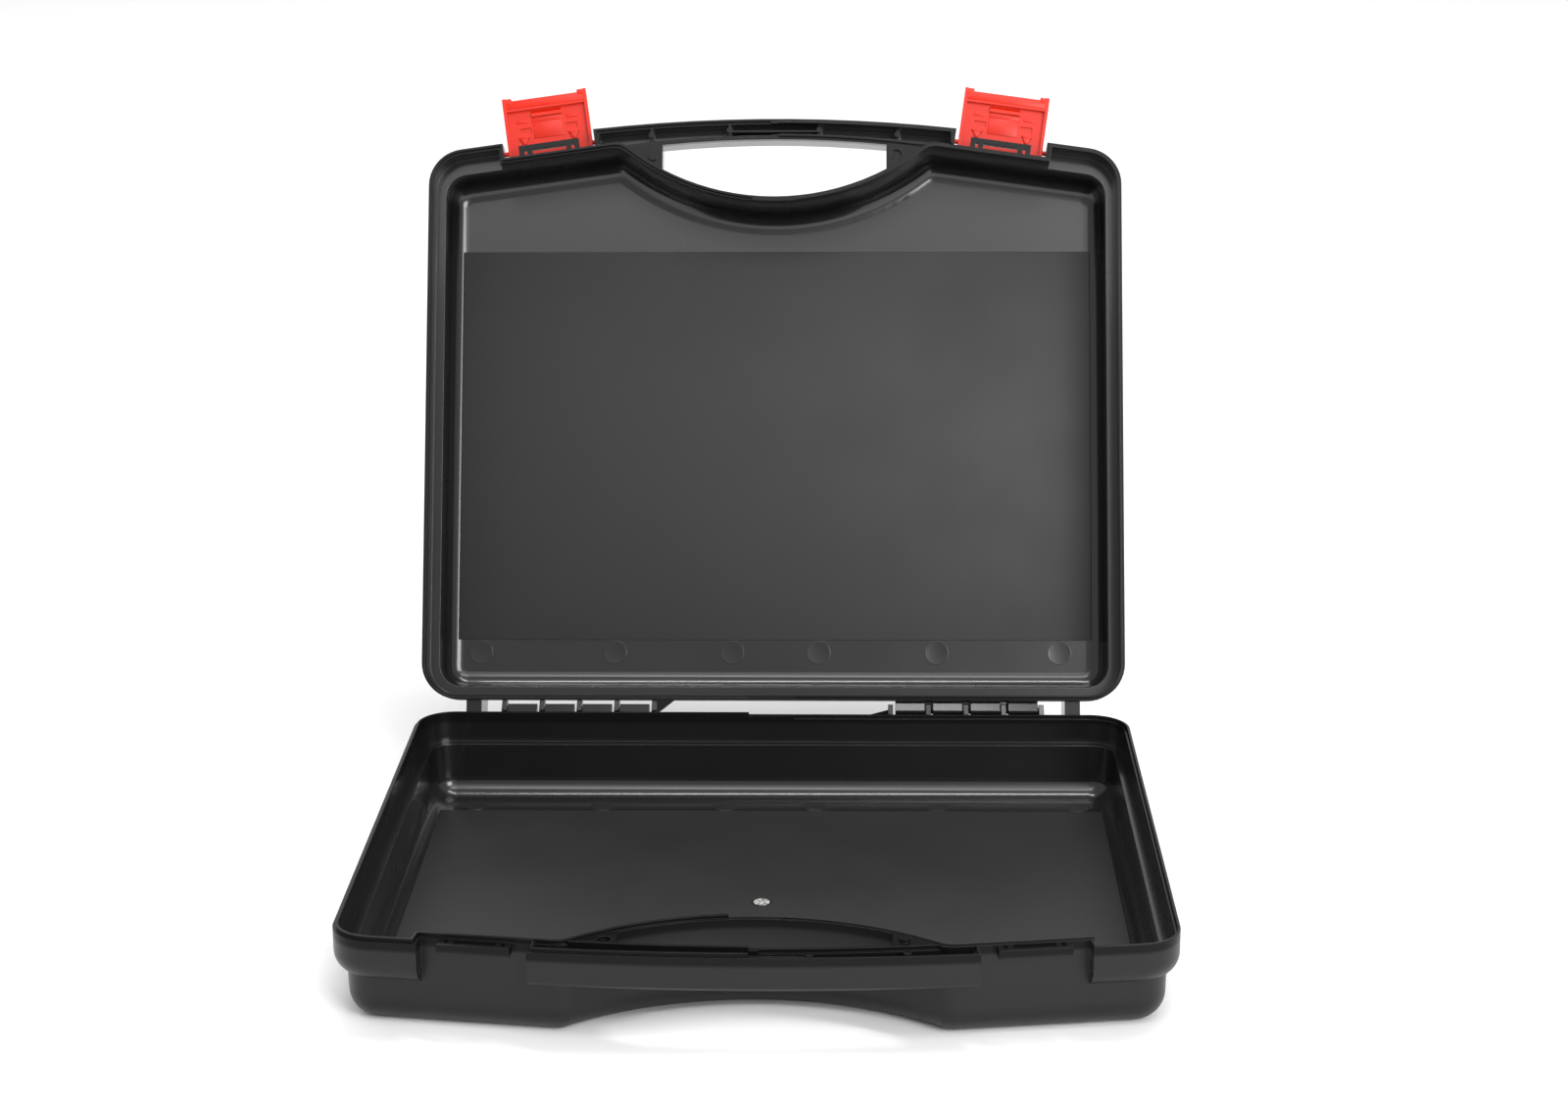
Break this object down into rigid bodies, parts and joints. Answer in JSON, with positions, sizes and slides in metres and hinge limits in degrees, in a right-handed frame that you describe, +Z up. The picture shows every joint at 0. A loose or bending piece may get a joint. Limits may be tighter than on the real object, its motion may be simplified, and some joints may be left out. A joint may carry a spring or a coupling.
{
  "type": "equipment case",
  "caption": "Moulded plastic equipment case with a hinged lid, snap latches and a hand hole through both halves, shown open and empty.",
  "frame": {"origin": "on the base's flat underside, midway across the case and 140 mm in front of the hinge line", "axes": "+X across the case to the right, -Y towards the front with the grip, +Z up; the lid is open at 112 degrees in the rest pose"},
  "size_m": [0.34, 0.4288, 0.3229],
  "materials": {
    "shell": "fine matt texture, moulded polypropylene",
    "latch": "satin, moulded plastic"
  },
  "bodies": {
    "base": {"base_shell": "shell"},
    "lid": {"lid_shell": "shell"},
    "latch_l": {"latch_left": "latch"},
    "latch_r": {"latch_right": "latch"}
  },
  "joints": [
    {"name": "lid_hinge", "type": "hinge", "parent": "base", "child": "lid", "pos_m": [0, 0.14, 0.04], "axis": [1, 0, 0], "range_deg": [0, 112]},
    {"name": "latch_left_pivot", "type": "hinge", "parent": "lid", "child": "latch_l", "pos_m": [-0.11128, 0.25631, 0.29423], "axis": [0.9901, 0.0525, 0.13], "range_deg": [0, 90]},
    {"name": "latch_right_pivot", "type": "hinge", "parent": "lid", "child": "latch_r", "pos_m": [0.11128, 0.25631, 0.29423], "axis": [0.9901, -0.0525, -0.13], "range_deg": [0, 90]}
  ]
}
